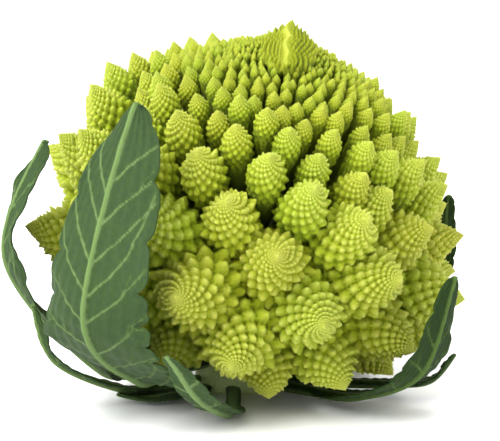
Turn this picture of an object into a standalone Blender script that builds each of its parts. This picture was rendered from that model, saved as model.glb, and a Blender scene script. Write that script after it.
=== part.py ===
"""Romanesco head: cut stem, florets on a golden-angle spiral, fused crown and wrapper leaves."""
import math

import bmesh
import bpy
from mathutils import Vector

MM = 0.001
GOLDEN = math.pi * (3 - math.sqrt(5))

# Head: the origin is the middle of the stem's flat cut
CENTRE = Vector((9, -6, 66)) * MM
TILT_RIGHT = math.radians(8.5)
TILT_FRONT = math.radians(15)
TIP_RADIUS = 79 * MM
PEAK_RISE = 11 * MM
PEAK_SPREAD = 0.14
SHOULDER_RISE = 13 * MM
SHOULDER_ANGLE = 0.95
SHOULDER_SPREAD = 0.45
SHOULDER_TURN = 2.9
BELT_RISE = 11 * MM
BELT_LEFT = 7 * MM
BELT_ANGLE = 1.66
BELT_SPREAD = 0.48
UNEVEN = 0.035
WANDER = 0.11
CORE_RADIUS = 25 * MM
GAP = 0.3 * MM

# Florets: width grows with the distance to the growing tip
FLORET_NODES = 46
OLDEST_ANGLE = 2.22
SPIRAL_START = 0.6
WIDTH_RATE = 0.10
WIDTH_GAIN = 2.1
WIDEST = 33 * MM
OLDEST_WIDTH = 26 * MM
SHRINK_FROM = 1.75
PACKING = 0.866
FLORET_SIDES = 10
# depth below the tip and half width, both in half widths
FLORET_RINGS = ((0.12, 0.24), (0.45, 0.52), (0.90, 0.82), (1.40, 1.04), (1.90, 1.06))
STALK_SHARE = 0.42
FLOOR_CLEARANCE = 0.5 * MM
TIP_CLEARANCE = 5 * MM

# Stem
STEM_FOOT = Vector((0, 0, 0))
STEM_RADIUS = 20 * MM
NECK_RADIUS = 14 * MM
NECK_DEPTH = 22 * MM
STEM_SIDES = 24
STEM_CONE = math.radians(35)

# Crown
CROWN_FLORETS = 150
CROWN_SIDES = 56
CROWN_RINGS = 14
CROWN_VALLEY = 0.75
CROWN_INSET = 0.10
CROWN_HEEL = 45 * MM
CROWN_SEAT = CORE_RADIUS + 3 * MM

# Leaves
LEAF_THICKNESS = 1.4 * MM
LEAF_ROWS = 14
LEAF_COLUMNS = 4
LEAF_HEADROOM = 4 * MM
LEAF_SWEEP = 13
LEAF_TAPER = 0.80
LEAF_FULLNESS = 0.5

# name: foot angle, blade angle, foot height, reach, belly radius, belly height, tip radius, tip height,
#       half width, stalk half width, lean of the blade to one side, in degrees and millimetres
LEAVES = {
    "front_left_leaf": (222, 240, 14, 69, 104, 46, 89, 121, 27, 7, 0.06),
    "left_leaf": (187, 207, 11, 67, 105, 59, 93, 106, 14, 6, 0),
    "small_left_leaf": (206, 209, 5, 60, 90, 20, 100, 43, 6, 2.5, 0),
    "low_front_leaf": (222, 207, 2.4, 42, 54, 2.6, 64, 4, 8, 3.5, 0),
    "folded_leaf": (262, 249, 2.6, 60, 84, 14, 95, 31, 7, 3, 0),
    "right_leaf": (308, 319, 6, 58, 86, 20, 96, 56, 12, 6, 0),
    "right_inner_leaf": (343, 343, 5, 56, 72, 8, 82, 19, 7, 4, 0),
    "back_right_leaf": (44, 28, 6, 66, 99, 44, 97, 78, 12, 5, 0.1),
    "back_leaf": (88, 92, 6, 66, 102, 50, 94, 100, 24, 7, -0.15),
    "back_left_leaf": (134, 139, 6, 66, 104, 46, 98, 88, 20, 6, 0.15),
}


def head_axes():
    """The head's own axis and two directions square to it."""
    axis = Vector((math.tan(TILT_RIGHT), -math.tan(TILT_FRONT), 1)).normalized()
    across = Vector((0, 1, 0)).cross(axis).normalized()
    return axis, across, axis.cross(across)


def head_direction(angle, turn):
    axis, across, along = head_axes()
    side = across * math.cos(turn) + along * math.sin(turn)
    return axis * math.cos(angle) + side * math.sin(angle)


def tip_radius(angle, turn):
    """Distance to the tips: a sharp peak on the axis, a full left shoulder and a belt round the middle."""
    side = 0.5 + 0.5 * math.cos(turn - SHOULDER_TURN)
    peak = PEAK_RISE * math.exp(-angle / PEAK_SPREAD)
    shoulder = SHOULDER_RISE * side * math.exp(-((angle - SHOULDER_ANGLE) / SHOULDER_SPREAD) ** 2)
    belt = (BELT_RISE + BELT_LEFT * side) * math.exp(-((angle - BELT_ANGLE) / BELT_SPREAD) ** 2)
    return TIP_RADIUS + peak + shoulder + belt


def uneven(index):
    """Repeatable share by which one floret stands taller or shorter than the rest."""
    return 1 + UNEVEN * math.sin(index * 12.9898)


def floret_width(angle):
    run = TIP_RADIUS * angle
    age = min(max((angle - SHRINK_FROM) / (OLDEST_ANGLE - SHRINK_FROM), 0), 1)
    cap = WIDEST + (OLDEST_WIDTH - WIDEST) * age
    return min(WIDTH_RATE * run + WIDTH_GAIN * run * run, cap)


def spiral(count):
    """Angle from the head's axis, turn and width of each floret, oldest first."""
    angle, turn, sites = OLDEST_ANGLE, SPIRAL_START, []
    for _ in range(count):
        width = floret_width(angle)
        drift = WANDER * width / TIP_RADIUS
        sites.append((angle + drift * math.sin(len(sites) * 7.13),
                      turn + drift * math.sin(len(sites) * 4.77) / math.sin(angle), width))
        ring = 2 * math.pi * TIP_RADIUS * math.sin(angle)
        angle -= PACKING * width * width / ring / TIP_RADIUS
        turn += GOLDEN
    return sites


def floor_under(direction):
    """Height that a floret stays above: the table, or a leaf stalk that passes under it."""
    heading = math.degrees(math.atan2(direction.y, direction.x))
    under = [leaf[2] * MM + LEAF_HEADROOM for leaf in LEAVES.values()
             if abs((heading - leaf[0] + 180) % 360 - 180) < LEAF_SWEEP]
    return max(under, default=FLOOR_CLEARANCE)


def cone_guard(axis, half_angle, direction):
    """Normal of the plane that touches a cone on the side that faces a floret."""
    side = (direction - axis * direction.dot(axis)).normalized()
    return side * math.cos(half_angle) - axis * math.sin(half_angle)


def make_object(name, mesh_data, colour, roughness):
    mesh = bpy.data.meshes.new(name)
    mesh_data.normal_update()
    mesh_data.to_mesh(mesh)
    mesh_data.free()
    mesh.shade_smooth()
    mesh.set_sharp_from_angle(angle=math.radians(50))
    material = bpy.data.materials.new(name)
    material.use_nodes = True
    shader = material.node_tree.nodes["Principled BSDF"]
    shader.inputs["Base Color"].default_value = (*colour, 1)
    shader.inputs["Roughness"].default_value = roughness
    mesh.materials.append(material)
    thing = bpy.data.objects.new(name, mesh)
    bpy.context.collection.objects.link(thing)
    return thing


def skin_rings(rings, first, last):
    """Closed skin over rings of points, each end drawn to one point."""
    data = bmesh.new()
    loops = [[data.verts.new(point) for point in ring] for ring in rings]
    ends = data.verts.new(first), data.verts.new(last)
    count = len(loops[0])
    for low, high in zip(loops, loops[1:]):
        for i in range(count):
            j = (i + 1) % count
            data.faces.new((low[i], low[j], high[j], high[i]))
    for i in range(count):
        j = (i + 1) % count
        data.faces.new((ends[0], loops[0][j], loops[0][i]))
        data.faces.new((ends[1], loops[-1][i], loops[-1][j]))
    bmesh.ops.triangulate(data, faces=data.faces[:])
    bmesh.ops.recalc_face_normals(data, faces=data.faces[:])
    if data.calc_volume(signed=True) < 0:
        bmesh.ops.reverse_faces(data, faces=data.faces[:])
    return data


def reach_in_cell(start, heading, wanted, planes):
    """How far a floret may spread before it meets a neighbour's half of the gap."""
    for normal, offset in planes:
        slope = heading.dot(normal)
        if slope < 0:
            wanted = min(wanted, (start.dot(normal) - offset) / -slope)
    return max(wanted, 0.4 * MM)


def floret_planes(index, directions, crown_angle):
    """Planes, measured from the head's centre, that a floret stays in front of."""
    mine = directions[index]
    planes = [((mine - other).normalized(), GAP / 2)
              for place, other in enumerate(directions) if place != index]
    planes.append((cone_guard(head_axes()[0], crown_angle, mine), GAP))
    foot = (STEM_FOOT - CENTRE).normalized()
    planes.append((cone_guard(foot, STEM_CONE, mine), GAP))
    floor = floor_under(mine)
    planes.append((Vector((0, 0, 1)), floor - CENTRE.z))
    return planes, floor


def make_floret(index, sites, directions, crown_angle):
    angle, turned, width = sites[index]
    mine = directions[index]
    planes, floor = floret_planes(index, directions, crown_angle)
    length = tip_radius(angle, turned) * uneven(index)
    if mine.z < 0:
        length = min(length, (CENTRE.z - floor - TIP_CLEARANCE) / -mine.z)
    side = mine.orthogonal().normalized()
    other = mine.cross(side)
    half = width / 2 * length / TIP_RADIUS
    root = CORE_RADIUS + GAP
    levels = [(length - depth * half, spread * half) for depth, spread in FLORET_RINGS]
    levels.append(((root + levels[-1][0]) / 2, half * STALK_SHARE * 1.3))
    levels.append((root + MM, half * STALK_SHARE))
    rings = []
    for distance, spread in levels:
        start = mine * distance
        ring = []
        for step in range(FLORET_SIDES):
            turn = 2 * math.pi * step / FLORET_SIDES
            heading = side * math.cos(turn) + other * math.sin(turn)
            ring.append(CENTRE + start + heading * reach_in_cell(start, heading, spread, planes))
        rings.append(ring)
    data = skin_rings(rings, CENTRE + mine * length, CENTRE + mine * root)
    make_object(f"floret_{index + 1:02d}", data, (0.46, 0.60, 0.07), 0.55)


def crown_radius(direction, angle, turn, young):
    """Distance to the crown's surface, which dips between its florets."""
    width = max(floret_width(angle), 4 * MM)
    nearest = min((direction - site).length for site in young) * TIP_RADIUS
    return tip_radius(angle, turn) - min(nearest * CROWN_VALLEY, width * CROWN_VALLEY / 2)


def make_crown(crown_angle, young):
    axis = head_axes()[0]
    edge = crown_angle - 0.01
    rings = []
    for step in range(1, CROWN_RINGS + 1):
        angle = edge * step / CROWN_RINGS
        around = [(turn, head_direction(angle, turn)) for turn in turns(CROWN_SIDES)]
        rings.append([CENTRE + way * crown_radius(way, angle, turn, young) for turn, way in around])
    for radius, angle in ((CROWN_HEEL, edge), (CROWN_SEAT, edge * 0.8), (CROWN_SEAT, edge * 0.4)):
        rings.append([CENTRE + head_direction(angle, turn) * radius for turn in turns(CROWN_SIDES)])
    top = CENTRE + axis * tip_radius(0, 0)
    bottom = CENTRE + axis * CROWN_SEAT
    make_object("crown", skin_rings(rings, top, bottom), (0.52, 0.64, 0.10), 0.5)


def make_stem():
    """A ball-topped stalk whose flat cut is the head's resting face."""
    foot = (STEM_FOOT - CENTRE).normalized()
    neck = CENTRE + foot * NECK_DEPTH
    rings = []
    for height, radius in ((0, STEM_RADIUS - MM), (MM, STEM_RADIUS), (12 * MM, STEM_RADIUS - 2 * MM)):
        centre = STEM_FOOT + (neck - STEM_FOOT) * (height / neck.z)
        rings.append([centre + Vector((math.cos(t), math.sin(t), 0)) * radius for t in turns(STEM_SIDES)])
    rings.append([neck + Vector((math.cos(t), math.sin(t), 0)) * NECK_RADIUS for t in turns(STEM_SIDES)])
    for polar in (-20, 5, 30, 55, 75):
        height = CORE_RADIUS * math.sin(math.radians(polar))
        radius = CORE_RADIUS * math.cos(math.radians(polar))
        rings.append([CENTRE + Vector((math.cos(t) * radius, math.sin(t) * radius, height))
                      for t in turns(STEM_SIDES)])
    data = skin_rings(rings, STEM_FOOT, CENTRE + Vector((0, 0, CORE_RADIUS)))
    make_object("stem", data, (0.66, 0.72, 0.42), 0.6)


def turns(count):
    return [2 * math.pi * step / count for step in range(count)]


def smooth_path(points, share):
    """Point at a share of the way along a rounded curve through the points."""
    spans = len(points) - 1
    place = min(int(share * spans), spans - 1)
    t = share * spans - place
    before = points[max(place - 1, 0)]
    start, end = points[place], points[place + 1]
    after = points[min(place + 2, spans)]
    return 0.5 * (2 * start + (end - before) * t + (2 * before - 5 * start + 4 * end - after) * t * t
                  + (3 * start - before - 3 * end + after) * t ** 3)


def leaf_point(leaf, along, sideways):
    """Point on a leaf's middle surface: along runs 0 to 1, sideways -1 to 1."""
    foot_turn, blade_turn, foot_z, reach, belly_r, belly_z, tip_r, tip_z, half, stalk, lean = leaf
    shift = (STEM_FOOT - CENTRE) / MM
    path = [Vector((STEM_RADIUS / MM + 2.0, foot_z)), Vector((reach * 0.65, foot_z)),
            Vector((reach, foot_z + 1)), Vector((belly_r, belly_z)), Vector((tip_r, tip_z))]
    spot = smooth_path(path, along)
    blade = min(max((along - 0.35) / 0.65, 0), 1)
    spread = stalk + (half - stalk) * max(math.sin(math.pi * blade ** LEAF_TAPER), 0) ** LEAF_FULLNESS
    spread = spread * math.sqrt(1 - 0.99 * blade ** 8)
    turn = math.radians(foot_turn + (blade_turn - foot_turn) * along ** 1.8)
    turn += sideways * (1 + lean * sideways) * spread / max(spot.x, 20)
    fade = max(1 - along * 2.0, 0)
    centre = Vector((CENTRE.x, CENTRE.y, 0)) + Vector((shift.x, shift.y, 0)) * MM * fade
    return centre + Vector((math.cos(turn) * spot.x, math.sin(turn) * spot.x, spot.y)) * MM


def make_leaf(name, leaf):
    def surface(row, column, side):
        along, across = row / LEAF_ROWS, 2 * column / LEAF_COLUMNS - 1
        step = 0.004
        here = leaf_point(leaf, along, across)
        up = leaf_point(leaf, min(along + step, 1), across) - leaf_point(leaf, max(along - step, 0), across)
        over = leaf_point(leaf, along, across + step) - leaf_point(leaf, along, across - step)
        return here + up.cross(over).normalized() * side * LEAF_THICKNESS / 2

    data = bmesh.new()
    sheets = [[[data.verts.new(surface(row, column, side)) for column in range(LEAF_COLUMNS + 1)]
               for row in range(LEAF_ROWS + 1)] for side in (1, -1)]
    for sheet in sheets:
        for low, high in zip(sheet, sheet[1:]):
            for i in range(LEAF_COLUMNS):
                data.faces.new((low[i], low[i + 1], high[i + 1], high[i]))
    rim = [(0, i) for i in range(LEAF_COLUMNS)] + [(j, LEAF_COLUMNS) for j in range(LEAF_ROWS)]
    rim += [(LEAF_ROWS, i) for i in range(LEAF_COLUMNS, 0, -1)] + [(j, 0) for j in range(LEAF_ROWS, 0, -1)]
    for (a, b), (c, d) in zip(rim, rim[1:] + rim[:1]):
        data.faces.new((sheets[0][a][b], sheets[0][c][d], sheets[1][c][d], sheets[1][a][b]))
    bmesh.ops.triangulate(data, faces=data.faces[:])
    bmesh.ops.recalc_face_normals(data, faces=data.faces[:])
    if data.calc_volume(signed=True) < 0:
        bmesh.ops.reverse_faces(data, faces=data.faces[:])
    make_object(name, data, (0.16, 0.25, 0.13), 0.5)


def main():
    for thing in list(bpy.data.objects):
        bpy.data.objects.remove(thing, do_unlink=True)
    sites = spiral(FLORET_NODES + CROWN_FLORETS)
    everywhere = [head_direction(angle, turn) for angle, turn, _ in sites]
    directions = everywhere[:FLORET_NODES]
    crown_angle = sites[FLORET_NODES - 1][0] - CROWN_INSET
    make_stem()
    make_crown(crown_angle, everywhere[FLORET_NODES:])
    for index in range(FLORET_NODES):
        make_floret(index, sites, directions, crown_angle)
    for name, leaf in LEAVES.items():
        make_leaf(name, leaf)


main()
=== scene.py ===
"""Looks of the romanesco head: florets of nested spiral cones, the crown, the cut stem and the leaves."""
import math

import bpy
import numpy as np
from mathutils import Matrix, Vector

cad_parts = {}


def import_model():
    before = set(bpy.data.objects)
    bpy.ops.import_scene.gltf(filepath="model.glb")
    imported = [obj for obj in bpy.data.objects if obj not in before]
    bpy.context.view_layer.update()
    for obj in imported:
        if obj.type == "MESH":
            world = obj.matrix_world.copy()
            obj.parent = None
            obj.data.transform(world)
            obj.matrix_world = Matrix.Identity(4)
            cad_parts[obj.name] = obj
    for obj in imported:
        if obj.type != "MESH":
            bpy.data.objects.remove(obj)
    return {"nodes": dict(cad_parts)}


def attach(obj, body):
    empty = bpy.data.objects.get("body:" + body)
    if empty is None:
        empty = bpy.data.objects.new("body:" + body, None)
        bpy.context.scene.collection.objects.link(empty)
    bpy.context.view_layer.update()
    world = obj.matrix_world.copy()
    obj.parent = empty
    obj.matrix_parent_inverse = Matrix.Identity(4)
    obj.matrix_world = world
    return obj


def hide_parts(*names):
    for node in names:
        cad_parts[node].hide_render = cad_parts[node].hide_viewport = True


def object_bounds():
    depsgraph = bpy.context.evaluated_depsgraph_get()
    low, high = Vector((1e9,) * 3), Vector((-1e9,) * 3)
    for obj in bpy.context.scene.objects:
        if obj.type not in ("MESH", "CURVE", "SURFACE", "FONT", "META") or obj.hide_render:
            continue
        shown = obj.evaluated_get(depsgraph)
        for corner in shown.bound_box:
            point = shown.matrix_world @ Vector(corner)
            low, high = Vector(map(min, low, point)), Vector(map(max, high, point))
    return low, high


MM = 0.001
GOLDEN = math.pi * (3 - math.sqrt(5))

# Head, as in the frame: the origin is the middle of the stem's flat cut
CENTRE = np.array((9, -6, 66)) * MM
TILT_RIGHT = math.radians(8.5)
TILT_FRONT = math.radians(15)
TIP_RADIUS = 79 * MM
PEAK_RISE = 11 * MM
PEAK_SPREAD = 0.14
SHOULDER_RISE = 13 * MM
SHOULDER_ANGLE = 0.95
SHOULDER_SPREAD = 0.45
SHOULDER_TURN = 2.9
BELT_RISE = 11 * MM
BELT_LEFT = 7 * MM
BELT_ANGLE = 1.66
BELT_SPREAD = 0.48
UNEVEN = 0.035
WANDER = 0.11
CORE_RADIUS = 25 * MM

# Floret spiral, as in the frame
FLORET_NODES = 46
OLDEST_ANGLE = 2.22
SPIRAL_START = 0.6
WIDTH_RATE = 0.10
WIDTH_GAIN = 2.1
WIDEST = 33 * MM
OLDEST_WIDTH = 26 * MM
SHRINK_FROM = 1.75
PACKING = 0.866
NARROWEST = 2.0 * MM
YOUNGEST_ANGLE = 0.055

# A floret's body in its half widths, and the share by which it bows up its stalk, fading at the lowest ones
FLARE = 1.20
TIP_SLOPE = 0.76
YOUNG_SLOPE = 0.70
TUCK = 0.25
BODY_DEPTH = 2.2
BOW = 0.50
BOW_UNTIL = 2.1

# Small cones on a floret: spacings in its conformal lattice, heights in the cones' half widths
CONE_SPACING = 0.44
CONE_HEIGHT = 1.6
BEAD_SPACING = 0.75
BEAD_HEIGHT = 0.42

# Pearls across a piece's box in the floret material, and the scatter of young florets in their widths
PEARL_SCALE = 950
YOUNG_DRIFT = 0.42

# Mesh cell on a floret, the most cells round one, and the pieces that hold the young florets
CELL = 0.645 * MM
MOST_SIDES = 222
ROWS_PER_SIDE = 0.68
CROWN_PIECES = 12

# Growing tip: a ridge with beads in spirals round it
CREST_HALF = 0.125
CREST_EDGE = 0.95
CREST_OVERLAP = 0.10
CREST_ROWS = 96
CREST_SIDES = 340
CREST_SPACING = 0.19
CREST_HEIGHT = 1.9 * MM
CREST_WIDTH = 1.1 * MM
CREST_SCALLOP = 0.030
CREST_SINK = 3 * MM

# Stem, and how the lowest florets clear the table and the stalks. Tips hang a little lower than in the frame
STEM_RADIUS = 20 * MM
NODE_WIDTH = 9 * MM
TIP_CLEARANCE = 1.5 * MM
FLOOR_CLEARANCE = 0.5 * MM
FLOOR_SOFT = 4 * MM
LEAF_HEADROOM = 4 * MM
LEAF_SWEEP = 13

# Leaves, as in the frame: foot angle, blade angle, foot height, reach, belly radius, belly height,
# tip radius, tip height, half width, stalk half width, lean of the blade, in degrees and millimetres
LEAVES = {
    "front_left_leaf": (222, 240, 14, 69, 104, 46, 89, 121, 27, 7, 0.06),
    "left_leaf": (187, 207, 11, 67, 105, 59, 93, 106, 14, 6, 0),
    "small_left_leaf": (206, 209, 5, 60, 90, 20, 100, 43, 6, 2.5, 0),
    "low_front_leaf": (222, 207, 2.4, 42, 54, 2.6, 64, 4, 8, 3.5, 0),
    "folded_leaf": (262, 249, 2.6, 60, 84, 14, 95, 31, 7, 3, 0),
    "right_leaf": (308, 319, 6, 58, 86, 20, 96, 56, 12, 6, 0),
    "right_inner_leaf": (343, 343, 5, 56, 72, 8, 82, 19, 7, 4, 0),
    "back_right_leaf": (44, 28, 6, 66, 99, 44, 97, 78, 12, 5, 0.1),
    "back_leaf": (88, 92, 6, 66, 102, 50, 94, 100, 24, 7, -0.15),
    "back_left_leaf": (134, 139, 6, 66, 104, 46, 98, 88, 20, 6, 0.15),
}
# mesh steps, the tint of each leaf from dark 0 to light 1, and the side veins in millimetres
LEAF_STEP = 0.62 * MM
HERO_STEP = 0.49 * MM
HERO_LEAF = "front_left_leaf"
LEAF_TINT = {"front_left_leaf": 0.75, "left_leaf": 0.7, "folded_leaf": 0.95, "right_leaf": 0.1,
             "right_inner_leaf": 0.1, "back_right_leaf": 0.25}
VEIN_STEP = 2.2
VEIN_GAP = 13
LEAF_TAPER = 0.80
LEAF_FULLNESS = 0.5
SKIN_HALF = 0.42 * MM
RIB_HEIGHT = 3.2 * MM
VEIN_HEIGHT = 0.30 * MM
QUILT_HEIGHT = 0.30 * MM
LEAF_LIFT = 0.4 * MM
LEAF_LOWEST = 1.6

# Colours from painted shade in the crevices through the florets' lime to a painted highlight on the tips,
# and the leaf's from bare skin to midrib
FLORET_COLOURS = (0.110, 0.180, 0.003), (0.510, 0.620, 0.014), (0.800, 0.860, 0.160)
CROWN_COLOURS = (0.120, 0.190, 0.003), (0.515, 0.625, 0.016), (0.800, 0.860, 0.165)
LEAF_COLOURS = (0.027, 0.054, 0.022), (0.040, 0.074, 0.018), (0.110, 0.175, 0.060), (0.125, 0.205, 0.058)
SPOT_COLOUR = (0.018, 0.045, 0.012, 1)
SPECK_COLOUR = (0.30, 0.22, 0.05, 1)
STEM_COLOURS = (0.24, 0.33, 0.09), (0.42, 0.50, 0.19)

# Stage: light from above, sky, two suns and the camera
OVERHEAD = 1.0
SKY_POWER = 1.4
KEY_POWER = 4.5
KEY_FROM = (-0.62, -0.44, 0.84)
KEY_SPREAD = 50
RIM_POWER = 0.8
RIM_FROM = (0.45, 0.75, 0.60)
RIM_SPREAD = 40
LENS, SENSOR = 100, 36
CAMERA_AWAY = 0.585
CAMERA_TILT = math.radians(5.5)
AIM_SIDE = 2.8 * MM
AIM_HEIGHT = 71 * MM


# ---------------------------------------------------------------- layout

def head_axes():
    """The head's own axis and two directions square to it."""
    axis = np.array((math.tan(TILT_RIGHT), -math.tan(TILT_FRONT), 1.0))
    axis /= np.linalg.norm(axis)
    across = np.cross((0, 1, 0), axis)
    across /= np.linalg.norm(across)
    return axis, across, np.cross(axis, across)


def head_direction(angle, turn):
    axis, across, along = head_axes()
    return axis * math.cos(angle) + (across * math.cos(turn) + along * math.sin(turn)) * math.sin(angle)


def tip_radius(angle, turn):
    """Distance to the tips: a sharp peak on the axis, a full left shoulder and a belt round the middle."""
    side = 0.5 + 0.5 * math.cos(turn - SHOULDER_TURN)
    peak = PEAK_RISE * math.exp(-angle / PEAK_SPREAD)
    shoulder = SHOULDER_RISE * side * math.exp(-((angle - SHOULDER_ANGLE) / SHOULDER_SPREAD) ** 2)
    belt = (BELT_RISE + BELT_LEFT * side) * math.exp(-((angle - BELT_ANGLE) / BELT_SPREAD) ** 2)
    return TIP_RADIUS + peak + shoulder + belt


def uneven(number):
    """Repeatable share by which one floret stands taller or shorter than the rest."""
    return 1 + UNEVEN * math.sin(number * 12.9898)


def floret_width(angle):
    """Width of a floret: it grows with the distance to the growing tip, and is less again in the oldest."""
    run = TIP_RADIUS * angle
    age = min(max((angle - SHRINK_FROM) / (OLDEST_ANGLE - SHRINK_FROM), 0), 1)
    cap = WIDEST + (OLDEST_WIDTH - WIDEST) * age
    return max(min(WIDTH_RATE * run + WIDTH_GAIN * run * run, cap), NARROWEST)


def spiral():
    """Angle from the head's axis, turn and width of each floret, oldest first, up to the growing tip."""
    angle, turn, number = OLDEST_ANGLE, SPIRAL_START, 0
    while angle > YOUNGEST_ANGLE:
        width = floret_width(angle)
        drift = WANDER * width / TIP_RADIUS
        yield (angle + drift * math.sin(number * 7.13),
               turn + drift * math.sin(number * 4.77) / math.sin(angle), width)
        number += 1
        ring = 2 * math.pi * TIP_RADIUS * math.sin(angle)
        angle -= PACKING * width * width / ring / TIP_RADIUS
        turn += GOLDEN


def floor_under(direction):
    """Height that a floret stays above: the table, or a leaf stalk that passes under it."""
    heading = math.degrees(math.atan2(direction[1], direction[0]))
    under = [leaf[2] * MM + LEAF_HEADROOM for leaf in LEAVES.values()
             if abs((heading - leaf[0] + 180) % 360 - 180) < LEAF_SWEEP]
    return max(under, default=FLOOR_CLEARANCE)


def crest_place(angle, turn):
    """Elliptic distance of a place on the head from the growing tip's ridge."""
    right, front = angle * math.cos(turn), -angle * math.sin(turn)
    both = math.hypot(right, front) + math.hypot(right, front - 2 * CREST_HALF)
    return math.acosh(max(both / (2 * CREST_HALF), 1))


# ---------------------------------------------------------------- meshes

def lattice_cell(s, phi, spacing, top, phase):
    """Offsets from each point to the nearest site of a golden-angle lattice, and that site's number."""
    step = PACKING * spacing * spacing / (2 * math.pi)
    middle = np.round((top - s) / step).astype(int)
    best = np.full(s.shape, 1e9)
    ds, dp, site = np.zeros(s.shape), np.zeros(s.shape), np.zeros(s.shape, int)
    window = int(spacing * 1.1 / step) + 1
    for shift in range(-window, window + 1):
        number = middle + shift
        away_s = s - (top - number * step)
        away_p = (phi - phase - number * GOLDEN + math.pi) % (2 * math.pi) - math.pi
        far = away_s ** 2 + away_p ** 2
        closer = far < best
        best[closer] = far[closer]
        ds[closer], dp[closer], site[closer] = away_s[closer], away_p[closer], number[closer]
    return ds, dp, site


def hashed(number, salt):
    """Repeatable value from 0 to 1 for each whole number."""
    return np.modf(np.abs(np.sin(number * 12.9898 + salt * 78.233) * 43758.5453))[0]


def floret_profile(rows, steep):
    """Depth below the tip, radius and conformal height of a floret of half width 1, tip first."""
    fine = np.linspace(0.006, BODY_DEPTH, 4000)
    under = np.clip((fine - 1.15) / (BODY_DEPTH - 1.15), 0, 1)
    radius = FLARE * np.tanh(steep * fine / FLARE) * (1 - TUCK * under * under * (3 - 2 * under))
    length = np.hypot(np.gradient(fine), np.gradient(radius))
    height = np.cumsum(length / radius)
    # rows crowd where the small cones are small, and thin out in the hidden base
    weight = np.cumsum(length / (radius ** 0.5) * np.where(fine > 1.5, 0.4, 1.0))
    picks = np.interp(np.linspace(0, weight[-1], rows), weight, np.arange(fine.size))
    return tuple(np.interp(picks, np.arange(fine.size), values) for values in (fine, radius, height))


def floret_surface(width, seed, length):
    """Grid of a floret's points with its tip at the top of +Z, and how lit each point is."""
    half = width / 2
    sides = int(np.clip(2 * math.pi * half * FLARE / CELL, 22, MOST_SIDES))
    rows = int(max(18, sides * ROWS_PER_SIDE))
    size = np.clip(half / (11 * MM), 0, 1)
    depth, radius, height = floret_profile(rows, YOUNG_SLOPE + (TIP_SLOPE - YOUNG_SLOPE) * size)
    phi = np.linspace(0, 2 * math.pi, sides, endpoint=False)
    s = np.repeat(height[:, None], sides, 1)
    p = np.repeat(phi[None], rows, 0)
    spacing = CONE_SPACING + 0.14 * (1 - size) ** 2
    ds, dp, site = lattice_cell(s, p, spacing, height[-1], seed * 1.7)
    local = np.hypot(ds, dp) / (spacing / 2)
    tall = CONE_HEIGHT * (0.70 + 0.6 * hashed(site, seed)) * (0.62 + 0.38 * size)
    tip = np.clip(1.08 - np.sqrt(local ** 2 + 0.02), -0.08, 1)
    bump = tall * tip
    if half > 5 * MM:
        ring = np.log(np.clip(local, 0.12, 2))
        es, ep, _ = lattice_cell(ring, np.arctan2(dp, -ds), BEAD_SPACING, 0.1, seed)
        bead = np.clip(1 - (np.hypot(es, ep) / (BEAD_SPACING / 2)) ** 2, 0, 1)
        bump += BEAD_HEIGHT * bead * np.clip(local, 0.1, 1) * np.clip((half - 5 * MM) / (4 * MM), 0, 1)
    slope = np.gradient(radius, depth)
    out = 1 / np.sqrt(1 + slope ** 2)
    lift = bump * radius[:, None] * spacing / 2 * np.clip(depth[:, None] / 0.08, 0.15, 1)
    # small cones lean towards the floret's tip as well as outwards
    lean = 0.22 * lift * tip
    sway = 1 + 0.05 * np.sin(p * 3 + seed) * np.clip(depth[:, None], 0, 1)
    r = (radius[:, None] * 0.86 * sway + lift * out[:, None] * 0.9) * half
    z = (-depth[:, None] + lift * slope[:, None] * out[:, None] * 0.9 + lean) * half
    points = np.stack((r * np.cos(p), r * np.sin(p), z + length), -1)
    # painted shade and highlight: each small cone lighter at its tip and darker at its foot, the floret
    # darker down its sunk base between its neighbours, and lighter at its own tip
    sunk = np.clip((depth[:, None] - 0.75) / 1.0, 0, 1)
    shade = (0.22 + 0.78 * np.clip(bump / tall, 0, 1) ** 0.8) * (1 - 0.68 * sunk)
    shade = shade + 0.30 * np.exp(-depth[:, None] / 0.16)
    return points, np.clip(shade, 0, 1)


def stalk_rows(points, shade):
    """The floret's grid carried down its stalk to the stem's heart."""
    last = points[-1]
    span = np.hypot(last[:, 0], last[:, 1])[:, None]
    unit = last[:, :2] / span
    extra, painted_shade = [], []
    start = last[:, 2].mean()
    for share in (0.12, 0.3, 0.55, 0.8, 1.0):
        reach = span.mean() * (1 - 0.62 * share ** 0.6)
        level = start + (CORE_RADIUS * 0.9 - start) * share
        extra.append(np.concatenate((unit * reach, np.full_like(span, level)), 1))
        # the stalks get a low value: painted shade in the gaps between florets
        painted_shade.append(np.full(len(last), 0.12))
    return np.concatenate((points, np.array(extra))), np.concatenate((shade, np.array(painted_shade)))


def turned(points, direction, spin):
    """Points turned so that +Z becomes the direction, and moved to the head's centre."""
    w = direction / np.linalg.norm(direction)
    u = np.cross(w, (0.31, 0.52, 0.79))
    u /= np.linalg.norm(u)
    v = np.cross(w, u)
    c, d = math.cos(spin), math.sin(spin)
    basis = np.stack((u * c + v * d, -u * d + v * c, w))
    return points @ basis + CENTRE


def grid_faces(rows, sides, offset=0):
    """Quads of a grid closed round its sides, with a fan over each end."""
    row, side = np.meshgrid(np.arange(rows - 1), np.arange(sides), indexing="ij")
    after = (side + 1) % sides
    quads = np.stack((row * sides + side, (row + 1) * sides + side,
                      (row + 1) * sides + after, row * sides + after), -1).reshape(-1, 4)
    tip, root = rows * sides, rows * sides + 1
    around = np.arange(sides)
    following = (around + 1) % sides
    first = np.stack((np.full(sides, tip), around, following), -1)
    last_row = (rows - 1) * sides
    last = np.stack((np.full(sides, root), last_row + following, last_row + around), -1)
    return quads + offset, np.concatenate((first, last)) + offset


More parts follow.
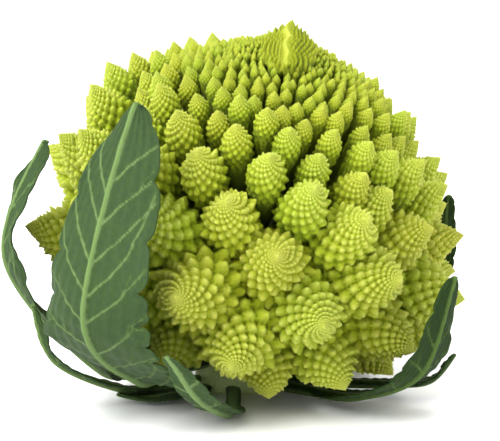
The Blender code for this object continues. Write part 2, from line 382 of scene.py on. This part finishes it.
def mesh_from(name, points, quads, triangles, uv, shade, tint):
    """A linked object from arrays, with its UV map and the values that its material reads."""
    mesh = bpy.data.meshes.new(name)
    loops = np.concatenate((quads.ravel(), triangles.ravel()))
    sizes = np.concatenate((np.full(len(quads), 4), np.full(len(triangles), 3)))
    mesh.vertices.add(len(points))
    mesh.vertices.foreach_set("co", points.astype(np.float32).ravel())
    mesh.loops.add(len(loops))
    mesh.loops.foreach_set("vertex_index", loops.astype(np.int32))
    mesh.polygons.add(len(sizes))
    starts = np.concatenate(((0,), np.cumsum(sizes)[:-1]))
    mesh.polygons.foreach_set("loop_start", starts.astype(np.int32))
    mesh.update(calc_edges=True)
    mesh.validate()
    layer = mesh.uv_layers.new(name="OFBake")
    layer.data.foreach_set("uv", uv.astype(np.float32).ravel())
    for label, values in (("shade", shade), ("tint", tint)):
        attribute = mesh.attributes.new(label, "FLOAT", "POINT")
        attribute.data.foreach_set("value", values.astype(np.float32))
    mesh.shade_smooth()
    thing = bpy.data.objects.new(name, mesh)
    bpy.context.collection.objects.link(thing)
    return thing


def floret_parts(site, number, offset, patch):
    """Arrays of one floret: points, quads, triangles, UVs, shade and tint."""
    angle, turn, width = site
    length = tip_radius(angle, turn) * (uneven(number) if width > NODE_WIDTH else 1)
    width = width * length / TIP_RADIUS
    if number >= FLORET_NODES:
        turn += YOUNG_DRIFT * (hashed(number, 7.7) - 0.5) * width / TIP_RADIUS / math.sin(angle)
        length *= 1 + YOUNG_DRIFT * 0.05 * (hashed(number, 2.3) - 0.5)
    direction = head_direction(angle, turn)
    floor = floor_under(direction)
    if direction[2] < 0:
        length = min(length, (CENTRE[2] - floor - TIP_CLEARANCE) / -direction[2])
    points, shade = floret_surface(width, number + 1, length)
    points, shade = stalk_rows(points, shade)
    rows, sides = shade.shape
    flat = turned(points.reshape(-1, 3), direction, hashed(number, 3.1) * 2 * math.pi)
    ends = turned(np.array(((0, 0, length + 0.02 * width), (0, 0, CORE_RADIUS * 0.85))), direction, 0)
    flat = np.concatenate((flat, ends))
    # a floret bows up its stalk, so its tip points more along the head's axis
    axis = head_axes()[0]
    towards = (axis - direction * (axis @ direction)) * BOW * min(max(BOW_UNTIL - angle, 0), 1)
    below = np.clip(length - (flat - CENTRE) @ direction, 0, length)
    flat -= (below * (1 - below / length))[:, None] * towards
    near = flat[:, 2] < floor + FLOOR_SOFT
    flat[near, 2] = floor + FLOOR_SOFT * np.exp((flat[near, 2] - floor - FLOOR_SOFT) / FLOOR_SOFT)
    quads, triangles = grid_faces(rows, sides, offset)
    row, side = np.meshgrid(np.arange(rows - 1), np.arange(sides), indexing="ij")
    top, bottom = (row + 1) / (rows + 1), (row + 2) / (rows + 1)
    left, right = side / sides, (side + 1) / sides
    uv = np.stack((left, top, left, bottom, right, bottom, right, top), -1).reshape(-1, 4, 2)
    around = np.arange(sides)
    a, b, m = around / sides, (around + 1) / sides, (around + 0.5) / sides
    first = np.stack((m, 0 * m, a, 0 * m + 1 / (rows + 1), b, 0 * m + 1 / (rows + 1)), -1)
    last = np.stack((m, 0 * m + 1, b, 0 * m + rows / (rows + 1), a, 0 * m + rows / (rows + 1)), -1)
    fans = np.concatenate((first, last)).reshape(-1, 3, 2)
    low, size = patch
    uv = np.concatenate((uv.reshape(-1, 2), fans.reshape(-1, 2))) * size + low
    # the tip point painted fully lit and the root point in full painted shade
    all_shade = np.concatenate((shade.ravel(), (1.0, 0.0)))
    tint = np.full(len(flat), hashed(number, 5.3))
    return flat, quads, triangles, uv, all_shade, tint


def join_florets(name, members):
    """One mesh from several florets, each with its own square of the UV map."""
    across = math.ceil(math.sqrt(len(members)))
    offset, parts = 0, []
    for place, (number, site) in enumerate(members):
        low = np.array((place % across, place // across)) / across
        part = floret_parts(site, number, offset, (low + 0.01 / across, 0.98 / across))
        offset += len(part[0])
        parts.append(part)
    points, quads, triangles, _, shade, tint = (np.concatenate(group) for group in zip(*parts))
    quad_uv = [part[3][:len(part[1]) * 4] for part in parts]
    fan_uv = [part[3][len(part[1]) * 4:] for part in parts]
    return mesh_from(name, points, quads, triangles, np.concatenate(quad_uv + fan_uv), shade, tint)


def crest_surface():
    """Grid of a scalloped ridge in elliptic spirals of beads, its plan in angles, and how lit it is."""
    mu, nu = np.meshgrid(np.linspace(0.03, CREST_EDGE, CREST_ROWS),
                         np.linspace(0, 2 * math.pi, CREST_SIDES, endpoint=False), indexing="ij")
    right = CREST_HALF * np.sinh(mu) * np.sin(nu)
    front = CREST_HALF * (1 + np.cosh(mu) * np.cos(nu))
    share = np.clip(front / (2 * CREST_HALF), 0, 1)
    past = np.maximum(-front, 0) + np.maximum(front - 2 * CREST_HALF, 0)
    away = TIP_RADIUS * np.hypot(right, past)
    ridge = CREST_HEIGHT * np.exp(-(away / CREST_WIDTH) ** 1.5) * (1 - share ** 3)
    ds, dp, _ = lattice_cell(mu, nu, CREST_SPACING, CREST_EDGE, 0.4)
    near = np.hypot(ds, dp) / (CREST_SPACING / 2)
    size = CREST_SPACING / 2 * CREST_HALF * TIP_RADIUS * np.sqrt(np.sinh(mu) ** 2 + np.sin(nu) ** 2)
    smooth = np.where(right < 0, 1.3, 0.6) * MM
    bead = np.clip(1.05 - near, 0, 1) * np.clip((away - smooth) / (2 * MM), 0, 1)
    edge = CREST_SINK * np.clip((mu / CREST_EDGE - 0.93) / 0.07, 0, 1) ** 2
    scallop = np.abs(np.sin(math.pi * (0.25 + 2.3 * share))) * np.sin(math.pi * np.sqrt(share))
    moved = right - CREST_SCALLOP * scallop * np.exp(-away / (3 * CREST_WIDTH))
    angle, turn = np.hypot(moved, front), np.arctan2(-front, moved)
    peak = PEAK_RISE * np.exp(-np.hypot(right, front * 0.55) / PEAK_SPREAD)
    around = np.vectorize(tip_radius)(angle, turn) - PEAK_RISE * np.exp(-angle / PEAK_SPREAD)
    radius = around + peak * (1 - 0.35 * share) + ridge + 2.7 * bead * size - edge - 0.6 * MM
    axis, across, along = head_axes()
    side = np.cos(turn)[..., None] * across + np.sin(turn)[..., None] * along
    points = CENTRE + (np.cos(angle)[..., None] * axis + np.sin(angle)[..., None] * side) * radius[..., None]
    # painted light on the growing tip: lighter on the ridge and the beads, painted shade growing away from
    # the ridge, the left flank painted lit and the right flank painted shaded
    painted_shade = 0.42 * np.clip((away - smooth) / (3 * MM), 0, 1)
    shade = 0.50 + 0.24 * ridge / CREST_HEIGHT + 0.50 * bead - painted_shade
    shade = np.clip(shade + np.where(right < 0, 0.10, -0.20) * np.exp(-away / (6 * MM)), 0, 1)
    return points, right, front, shade


def make_crest(material):
    """The growing tip as one closed mesh, drawn to a point below the surface."""
    points, right, front, shade = crest_surface()
    root = CENTRE + head_direction(CREST_HALF, -math.pi / 2) * (TIP_RADIUS - 12 * MM)
    flat = np.concatenate((points.reshape(-1, 3), root[None]))
    rows, sides = shade.shape
    quads = grid_faces(rows, sides)[0]
    i = np.arange(1, sides // 2 - 1)
    quads = np.concatenate((quads, np.stack((i, i + 1, sides - i - 1, sides - i), -1)))
    last, following = (rows - 1) * sides + np.arange(sides), (np.arange(sides) + 1) % sides
    under = np.stack((np.full(sides, rows * sides), (rows - 1) * sides + following, last), -1)
    ends = np.array(((0, 1, sides - 1), (sides // 2 - 1, sides // 2, sides // 2 + 1)))
    triangles = np.concatenate((under, ends))
    plan = np.stack((right / np.abs(right).max(), (front - CREST_HALF) / np.abs(front).max()), -1)
    plan = np.concatenate((plan.reshape(-1, 2) * 0.45 + 0.5, ((0.02, 0.02),)))
    shade = np.concatenate((shade.ravel(), (0.0,)))
    first = flat[quads[:, 0]]
    facing = np.cross(flat[quads[:, 1]] - first, flat[quads[:, 2]] - first)
    if ((first - CENTRE) * facing).sum() < 0:
        quads, triangles = quads[:, ::-1], triangles[:, ::-1]
    uv = np.concatenate((plan[quads.ravel()], plan[triangles.ravel()]))
    crest = mesh_from("crest", flat, quads, triangles, uv, shade, np.full(len(flat), 0.1))
    crest.data.materials.append(material)
    return crest


# ---------------------------------------------------------------- materials

def new_material(name, roughness):
    """A material with its nodes, its links and its shader."""
    material = bpy.data.materials.new(name)
    material.use_nodes = True
    nodes, links = material.node_tree.nodes, material.node_tree.links
    shader = nodes["Principled BSDF"]
    shader.inputs["Roughness"].default_value = roughness
    return material, nodes, links, shader


def ramp(nodes, stops):
    """Colour ramp with a colour at each place from 0 to 1."""
    node = nodes.new("ShaderNodeValToRGB")
    while len(node.color_ramp.elements) < len(stops):
        node.color_ramp.elements.new(0.5)
    for element, (place, colour) in zip(node.color_ramp.elements, stops):
        element.position = place
        element.color = (*colour, 1)
    return node


def attribute(nodes, name):
    node = nodes.new("ShaderNodeAttribute")
    node.attribute_name = name
    return node.outputs["Fac"]


def maths(nodes, links, operation, first, second):
    """Output of a maths node fed by sockets or by numbers."""
    node = nodes.new("ShaderNodeMath")
    node.operation = operation
    for socket, value in zip(node.inputs, (first, second)):
        if isinstance(value, float):
            socket.default_value = value
        else:
            links.new(value, socket)
    return node.outputs["Value"]


def mapped(nodes, links, value, source, target):
    """A value carried from one range to another."""
    node = nodes.new("ShaderNodeMapRange")
    for label, number in zip(("From Min", "From Max", "To Min", "To Max"), (*source, *target)):
        node.inputs[label].default_value = number
    links.new(value, node.inputs["Value"])
    return node.outputs["Result"]


def add_bump(nodes, links, shader, height, strength, distance):
    """Relief from a height, over a distance in metres."""
    bump = nodes.new("ShaderNodeBump")
    bump.inputs["Strength"].default_value = strength
    bump.inputs["Distance"].default_value = distance
    links.new(height, bump.inputs["Height"])
    links.new(bump.outputs["Normal"], shader.inputs["Normal"])


def floret_material(name, deep, middle, bright):
    """Lime florets with dark green painted shade in the crevices and a painted highlight on the cones' tips,
    beaded, with mottling and a few brown specks.
    """
    material, nodes, links, shader = new_material(name, 0.50)
    shader.inputs["Specular IOR Level"].default_value = 0.28
    shade = attribute(nodes, "shade")
    beads = nodes.new("ShaderNodeTexVoronoi")
    beads.inputs["Scale"].default_value = PEARL_SCALE
    bare = mapped(nodes, links, shade, (0.65, 1.0), (1.0, 0.75))
    grain = maths(nodes, links, "MULTIPLY", beads.outputs["Distance"], bare)
    # darker between the pearls: painted shade, beside the bump made from the same grain
    painted_pearl_shade = maths(nodes, links, "MULTIPLY", grain, -0.60)
    level = maths(nodes, links, "ADD", painted_pearl_shade, shade)
    level = maths(nodes, links, "ADD", level, 0.29)
    colours = ramp(nodes, ((0.0, deep), (0.42, middle), (0.98, bright)))
    links.new(level, colours.inputs["Fac"])
    mottle = nodes.new("ShaderNodeTexNoise")
    mottle.inputs["Scale"].default_value = 120
    mottle.inputs["Detail"].default_value = 5
    vary = nodes.new("ShaderNodeHueSaturation")
    links.new(mapped(nodes, links, mottle.outputs["Fac"], (0.3, 0.7), (0.86, 1.12)), vary.inputs["Value"])
    tint = attribute(nodes, "tint")
    links.new(mapped(nodes, links, tint, (0, 1), (0.490, 0.508)), vary.inputs["Hue"])
    links.new(colours.outputs["Color"], vary.inputs["Color"])
    specks = nodes.new("ShaderNodeTexNoise")
    specks.inputs["Scale"].default_value = 210
    brown = nodes.new("ShaderNodeMix")
    brown.data_type = "RGBA"
    brown.inputs["B"].default_value = SPECK_COLOUR
    links.new(mapped(nodes, links, specks.outputs["Fac"], (0.70, 0.80), (0, 0.55)), brown.inputs["Factor"])
    links.new(vary.outputs["Color"], brown.inputs["A"])
    links.new(brown.outputs["Result"], shader.inputs["Base Color"])
    height = maths(nodes, links, "MULTIPLY", grain, -1.0)
    add_bump(nodes, links, shader, height, 0.8, 0.0007)
    shader.inputs["Subsurface Weight"].default_value = 0.12
    shader.inputs["Subsurface Radius"].default_value = (0.5, 0.8, 0.2)
    shader.inputs["Subsurface Scale"].default_value = 0.0012
    return material


def leaf_material():
    """Grey-green waxy skin with pale veins, a fine net between them, patches and dark spots."""
    material, nodes, links, shader = new_material("leaf", 0.55)
    shader.inputs["Specular IOR Level"].default_value = 0.08
    shade = attribute(nodes, "shade")
    net = nodes.new("ShaderNodeTexVoronoi")
    net.feature = "DISTANCE_TO_EDGE"
    net.inputs["Scale"].default_value = 210
    lines = mapped(nodes, links, net.outputs["Distance"], (0.0, 0.10), (0.11, 0.0))
    patches = nodes.new("ShaderNodeTexNoise")
    patches.inputs["Scale"].default_value = 48
    patches.inputs["Detail"].default_value = 7
    level = maths(nodes, links, "ADD", shade, lines)
    clouds = mapped(nodes, links, patches.outputs["Fac"], (0.3, 0.7), (0.0, 0.24))
    level = maths(nodes, links, "ADD", level, clouds)
    colours = ramp(nodes, tuple(zip((0.0, 0.30, 0.62, 1.0), LEAF_COLOURS)))
    links.new(level, colours.inputs["Fac"])
    spots = nodes.new("ShaderNodeTexNoise")
    spots.inputs["Scale"].default_value = 330
    mask = mapped(nodes, links, spots.outputs["Fac"], (0.68, 0.74), (0.0, 0.6))
    spotted = nodes.new("ShaderNodeMix")
    spotted.data_type = "RGBA"
    spotted.inputs["B"].default_value = SPOT_COLOUR
    links.new(mask, spotted.inputs["Factor"])
    links.new(colours.outputs["Color"], spotted.inputs["A"])
    vary = nodes.new("ShaderNodeHueSaturation")
    tint = attribute(nodes, "tint")
    links.new(mapped(nodes, links, tint, (0, 1), (0.50, 1.15)), vary.inputs["Value"])
    links.new(mapped(nodes, links, tint, (0, 1), (1.18, 0.92)), vary.inputs["Saturation"])
    links.new(spotted.outputs["Result"], vary.inputs["Color"])
    links.new(vary.outputs["Color"], shader.inputs["Base Color"])
    add_bump(nodes, links, shader, net.outputs["Distance"], 0.45, 0.0005)
    shader.inputs["Subsurface Weight"].default_value = 0.10
    shader.inputs["Subsurface Radius"].default_value = (0.4, 0.7, 0.2)
    shader.inputs["Subsurface Scale"].default_value = 0.001
    return material


def stem_material():
    """Pale green skin with fine mottling."""
    material, nodes, links, shader = new_material("stem", 0.55)
    noise = nodes.new("ShaderNodeTexNoise")
    noise.inputs["Scale"].default_value = 120
    noise.inputs["Detail"].default_value = 8
    colours = ramp(nodes, tuple(zip((0.3, 0.7), STEM_COLOURS)))
    links.new(noise.outputs["Fac"], colours.inputs["Fac"])
    links.new(colours.outputs["Color"], shader.inputs["Base Color"])
    add_bump(nodes, links, shader, noise.outputs["Fac"], 0.3, 0.0005)
    return material


# ---------------------------------------------------------------- leaves

def smooth_path(points, share):
    """Points at shares of the way along a rounded curve, as an array."""
    points = np.array(points, float)
    spans = len(points) - 1
    place = np.minimum((share * spans).astype(int), spans - 1)
    t = (share * spans - place)[..., None]
    before = points[np.maximum(place - 1, 0)]
    start, end = points[place], points[place + 1]
    after = points[np.minimum(place + 2, spans)]
    return 0.5 * (2 * start + (end - before) * t + (2 * before - 5 * start + 4 * end - after) * t * t
                  + (3 * start - before - 3 * end + after) * t ** 3)


def leaf_spread(leaf, along):
    """Half width in millimetres, from the stalk to the blade's tip."""
    half, stalk = leaf[8], leaf[9]
    blade = np.clip((along - 0.35) / 0.65, 0, 1)
    ovate = np.maximum(np.sin(math.pi * blade ** LEAF_TAPER), 0) ** LEAF_FULLNESS
    return (stalk + (half - stalk) * ovate) * np.sqrt(1 - 0.99 * blade ** 8)


def leaf_middle(leaf, along, sideways):
    """Points on a leaf's middle surface, with lobes, teeth and ruffles."""
    foot_turn, blade_turn, foot_z, reach, belly_r, belly_z, tip_r, tip_z, half, _, lean = leaf
    path = [(STEM_RADIUS / MM - 2.0, foot_z), (reach * 0.65, foot_z), (reach, foot_z + 1),
            (belly_r, belly_z), (tip_r, tip_z)]
    spot = smooth_path(path, along)
    blade = np.clip((along - 0.35) / 0.65, 0, 1)
    edge = np.abs(sideways) ** 3 * np.clip(blade * 6, 0, 1)
    seed = foot_turn * 0.37
    beat = along * (14 + 0.15 * half) + 0.35 * np.sin(along * 9 + seed) + 0.37 * np.sign(sideways) + seed
    notch = (1 - np.abs(np.sin(math.pi * beat))) ** 2.5
    teeth = np.sin(along * 170 + 3 * np.sin(along * 17) + seed) * 0.012
    swell = 0.06 * np.sin(along * 13 + seed + 2 * np.sign(sideways))
    spread = leaf_spread(leaf, along) * (1 + edge * (teeth + swell - 0.15 * notch))
    turn = np.radians(foot_turn + (blade_turn - foot_turn) * along ** 1.8)
    turn = turn + sideways * (1 + lean * sideways) * spread / np.maximum(spot[..., 0], 20)
    wave = 1.9 if half > 12 else 0.8
    ruffle = edge * wave * (np.sin(along * 31 + seed + sideways) + 0.5 * np.sin(along * 57 - seed))
    cup = 1.2 * np.clip(blade * 4, 0, 1) * (1 - np.abs(sideways)) * np.clip(half / 20, 0, 1)
    radius = (spot[..., 0] + ruffle + cup) * MM
    fade = np.maximum(1 - along * 2.0, 0)
    x = CENTRE[0] * (1 - fade) + np.cos(turn) * radius
    y = CENTRE[1] * (1 - fade) + np.sin(turn) * radius
    return np.stack((x, y, np.maximum(spot[..., 1], LEAF_LOWEST) * MM), -1)


def vein_path(start, heading, reach, seed):
    """Points of a side vein that wanders from the midrib towards the rim, in millimetres."""
    points = [np.array(start, float)]
    for step in range(40):
        heading -= 0.03 - 0.22 * (hashed(step, seed) - 0.5)
        points.append(points[-1] + VEIN_STEP * np.array((math.sin(heading), math.cos(heading))))
        if abs(points[-1][0]) > reach:
            break
    return points


def leaf_veins(leaf, base, length):
    """Side veins and their forks, each a path with its half width and strength at either end."""
    lines = []
    for side in (-1, 1):
        wide = leaf[8] * (1 + leaf[10] * side)
        for number in range(int((length - base) * 0.90 / VEIN_GAP)):
            seed = leaf[0] * 0.7 + number * 3.1 + side
            start = base + VEIN_GAP * (number + 0.40 * hashed(number, seed))
            steep = 1.16 - 0.05 * number + 0.2 * (hashed(number, seed + 4) - 0.5)
            path = vein_path((0, start), steep, wide * 0.93, seed)
            lines.append(([p * (side, 1) for p in path], 0.60, 0.46, 0.52, 0.30))
            for fork, turn in ((0.45, -0.50), (0.70, 0.60)):
                root = path[int(len(path) * fork)]
                twig = vein_path(root, steep + turn, wide * 0.95, seed + fork * 9)[:5]
                lines.append(([p * (side, 1) for p in twig], 0.46, 0.42, 0.30, 0.14))
    return lines


def vein_pattern(leaf, along, sideways, climb):
    """From 0 on bare blade to 1 on the midrib, with branching veins, and the midrib alone."""
    spread = leaf_spread(leaf, along) * (1 + leaf[10] * sideways)
    x, y = sideways * spread, np.repeat(climb[:, None], along.shape[1], 1)
    base = np.interp(0.40, along[:, 0], climb)
    rib_width = 0.9 + 2.6 * np.clip(1 - along, 0, 1) ** 1.6
    rib = np.exp(-(x / rib_width) ** 2)
    veins = np.zeros(along.shape)
    for path, wide, thin, strong, faint in leaf_veins(leaf, base, climb[-1]):
        for place, (start, end) in enumerate(zip(path, path[1:])):
            share = place / len(path)
            low, high = sorted((start[1], end[1]))
            rows = slice(*np.searchsorted(y[:, 0], (low - 2, high + 2)))
            run = end - start
            t = np.clip(((x[rows] - start[0]) * run[0] + (y[rows] - start[1]) * run[1]) / (run @ run), 0, 1)
            far = np.hypot(x[rows] - start[0] - t * run[0], y[rows] - start[1] - t * run[1])
            width = wide + (thin - wide) * share
            line = (strong + (faint - strong) * share) * np.exp(-(far / width) ** 2)
            veins[rows] = np.maximum(veins[rows], line)
    rim = np.clip((1 - np.abs(sideways)) * 14, 0, 1)
    return np.clip(np.maximum(rib, veins * rim), 0, 1), rib


def leaf_skins(leaf, rows, columns):
    """A leaf's grid, its outer and inner skin as points, and its veins from 0 to 1."""
    along, sideways = np.meshgrid(np.linspace(0, 1, rows), np.linspace(-1, 1, columns), indexing="ij")
    middle = leaf_middle(leaf, along, sideways)
    up, over = np.gradient(middle, axis=0), np.gradient(middle, axis=1)
    normal = np.cross(up, over)
    normal /= np.maximum(np.linalg.norm(normal, axis=-1, keepdims=True), 1e-12)
    facing = np.sign((normal * (middle - CENTRE)).sum(-1))[..., None]
    normal = normal * np.where(facing == 0, 1, facing)
    steps = np.diff(middle[:, columns // 2], axis=0)
    climb = np.concatenate(((0,), np.cumsum(np.linalg.norm(steps, axis=1)))) / MM
    veins, rib = vein_pattern(leaf, along, sideways, climb)
    thick = SKIN_HALF + RIB_HEIGHT * rib * np.clip(1.05 - along, 0.05, 1)
    thick = thick * (1 - 0.6 * np.abs(sideways) ** 6)
    quilt = np.sin(sideways * 19 + along * 60) * np.sin(along * 85 - sideways * 11)
    quilt = quilt * QUILT_HEIGHT * (1 - rib)
    outer = middle + normal * (thick + quilt + VEIN_HEIGHT * veins)[..., None]
    inner = middle - normal * (SKIN_HALF + 0.25 * (thick - SKIN_HALF) - quilt)[..., None]
    for skin in (outer, inner):
        skin[..., 2] = np.maximum(skin[..., 2], LEAF_LIFT)
    return along, sideways, outer, inner, veins


def leaf_faces(rows, columns):
    """Quads of both skins and of the rim that joins them, and how many are in the rim."""
    row, column = np.meshgrid(np.arange(rows - 1), np.arange(columns - 1), indexing="ij")
    corner = row * columns + column
    front = np.stack((corner, corner + columns, corner + columns + 1, corner + 1), -1).reshape(-1, 4)
    behind = front[:, ::-1] + rows * columns
    rim = list(range(columns)) + [j * columns + columns - 1 for j in range(1, rows)]
    rim += [(rows - 1) * columns + i for i in range(columns - 2, -1, -1)]
    rim += [j * columns for j in range(rows - 2, 0, -1)]
    rim = np.array(rim)
    following = np.roll(rim, -1)
    wall = np.stack((rim, following, following + rows * columns, rim + rows * columns), -1)
    return np.concatenate((front, behind, wall)), len(rim)


def leaf_uv(along, sideways, quads, rim):
    """The outer skin on the left of the UV map, the inner one on the right and the rim between them."""
    share_u, share_v = (sideways.ravel() + 1) / 2, along.ravel() * 0.98 + 0.01
    left = np.stack((share_u * 0.47 + 0.01, share_v), -1)
    right = np.stack((share_u * 0.47 + 0.51, share_v), -1)
    uv = np.concatenate((left, right))[quads]
    run = np.arange(rim) / rim
    later = run + 1 / rim
    strip = (0.485 + 0 * run, run, 0.485 + 0 * run, later, 0.495 + 0 * run, later, 0.495 + 0 * run, run)
    uv[-rim:] = np.stack(strip, -1).reshape(-1, 4, 2)
    return uv


def make_leaf(name, leaf, material):
    """A leaf as one closed mesh: two skins joined round the rim."""
    length = 1.15 * math.hypot(leaf[6], leaf[7]) + 0.35 * leaf[3]
    step = HERO_STEP if name == HERO_LEAF else LEAF_STEP
    rows, columns = int(length * MM / step), max(int(2.1 * leaf[8] * MM / step), 16)
    along, sideways, outer, inner, veins = leaf_skins(leaf, rows, columns)
    points = np.concatenate((outer.reshape(-1, 3), inner.reshape(-1, 3)))
    quads, rim = leaf_faces(rows, columns)
    uv = leaf_uv(along, sideways, quads, rim)
    shade = np.concatenate((veins.ravel(), veins.ravel() * 0.6))
    tint = np.full(len(points), LEAF_TINT.get(name, 0.5))
    quads, reverse = orient(points, quads)
    uv = uv[:, ::-1] if reverse else uv
    thing = mesh_from(name + "_blade", points, quads, np.zeros((0, 3), int), uv, shade, tint)
    thing.data.materials.append(material)
    return thing


def orient(points, quads):
    """Quads with their faces pointing out, and whether they had to be reversed."""
    a, b, c, d = (points[quads[:, i]] for i in range(4))
    volume = (np.cross(b, c) * a).sum() + (np.cross(c, d) * a).sum()
    return (quads, False) if volume > 0 else (quads[:, ::-1], True)


# ---------------------------------------------------------------- stage

def sun_light(name, source, power, spread):
    """Soft light from a direction; spread is its width across in degrees."""
    light = bpy.data.lights.new(name, "SUN")
    light.energy, light.angle = power, math.radians(spread)
    thing = bpy.data.objects.new(name, light)
    bpy.context.collection.objects.link(thing)
    thing.rotation_euler = Vector(source).to_track_quat("Z", "Y").to_euler()


def build_stage(low, high):
    """Pale floor, even sky, two soft suns, and the camera at the photo's angle."""
    middle = (low + high) / 2
    bpy.ops.mesh.primitive_plane_add(size=80, location=(0, 0, 0))
    floor = bpy.context.object
    floor.name = "floor"
    material, nodes, links, shader = new_material("floor", 0.22)
    noise = nodes.new("ShaderNodeTexNoise")
    noise.inputs["Scale"].default_value = 3
    tone = ramp(nodes, ((0.0, (0.955, 0.955, 0.955)), (1.0, (0.965, 0.965, 0.965))))
    links.new(noise.outputs["Fac"], tone.inputs["Fac"])
    links.new(tone.outputs["Color"], shader.inputs["Base Color"])
    floor.data.materials.append(material)
    world = bpy.data.worlds.new("studio")
    bpy.context.scene.world = world
    world.use_nodes = True
    nodes, links = world.node_tree.nodes, world.node_tree.links
    place = nodes.new("ShaderNodeTexCoord")
    parts = nodes.new("ShaderNodeSeparateXYZ")
    links.new(place.outputs["Generated"], parts.inputs["Vector"])
    sky = ramp(nodes, ((0.22, (1.0, 1.0, 1.0)), (0.75, (OVERHEAD, OVERHEAD, OVERHEAD))))
    links.new(parts.outputs["Z"], sky.inputs["Fac"])
    links.new(sky.outputs["Color"], nodes["Background"].inputs["Color"])
    nodes["Background"].inputs["Strength"].default_value = SKY_POWER
    sun_light("key", KEY_FROM, KEY_POWER, KEY_SPREAD)
    sun_light("rim", RIM_FROM, RIM_POWER, RIM_SPREAD)
    camera = bpy.data.cameras.new("camera")
    camera.lens, camera.sensor_width = LENS, SENSOR
    thing = bpy.data.objects.new("camera", camera)
    bpy.context.collection.objects.link(thing)
    aim = Vector((middle[0] + AIM_SIDE, middle[1], low[2] + AIM_HEIGHT))
    thing.location = aim + CAMERA_AWAY * Vector((0, -math.cos(CAMERA_TILT), math.sin(CAMERA_TILT)))
    thing.rotation_euler = (aim - thing.location).to_track_quat("-Z", "Y").to_euler()
    bpy.context.scene.camera = thing
    bpy.context.scene.view_settings.view_transform = "Standard"


def add_florets():
    """The oldest florets one by one, the young ones in a few pieces, and the growing tip."""
    lime, young = floret_material("floret", *FLORET_COLOURS), floret_material("crown", *CROWN_COLOURS)
    florets = list(spiral())
    for number in range(FLORET_NODES):
        node = f"floret_{number + 1:02d}"
        piece = join_florets(node + "_cones", [(number, florets[number])])
        piece.data.materials.append(lime)
        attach(piece, "root")
        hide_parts(node)
    # the growing tip takes the place of the very youngest
    rest = [(number, site) for number, site in enumerate(florets)
            if number >= FLORET_NODES and crest_place(site[0], site[1]) > CREST_EDGE - CREST_OVERLAP]
    for share in range(CROWN_PIECES):
        piece = join_florets(f"crown_florets_{share + 1}", rest[share::CROWN_PIECES])
        piece.data.materials.append(young)
        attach(piece, "root")
        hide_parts("crown")
    crest = make_crest(young)
    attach(crest, "root")
    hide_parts("crown")


def main():
    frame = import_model()
    cad_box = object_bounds()
    low, high = (Vector(corner) for corner in cad_box)
    add_florets()
    skin = leaf_material()
    for name, leaf in LEAVES.items():
        piece = make_leaf(name, leaf, skin)
        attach(piece, "root")
        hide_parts(name)
    stem = frame["nodes"]["stem"]
    stem.data.materials.clear()
    stem.data.materials.append(stem_material())
    build_stage(low, high)


main()
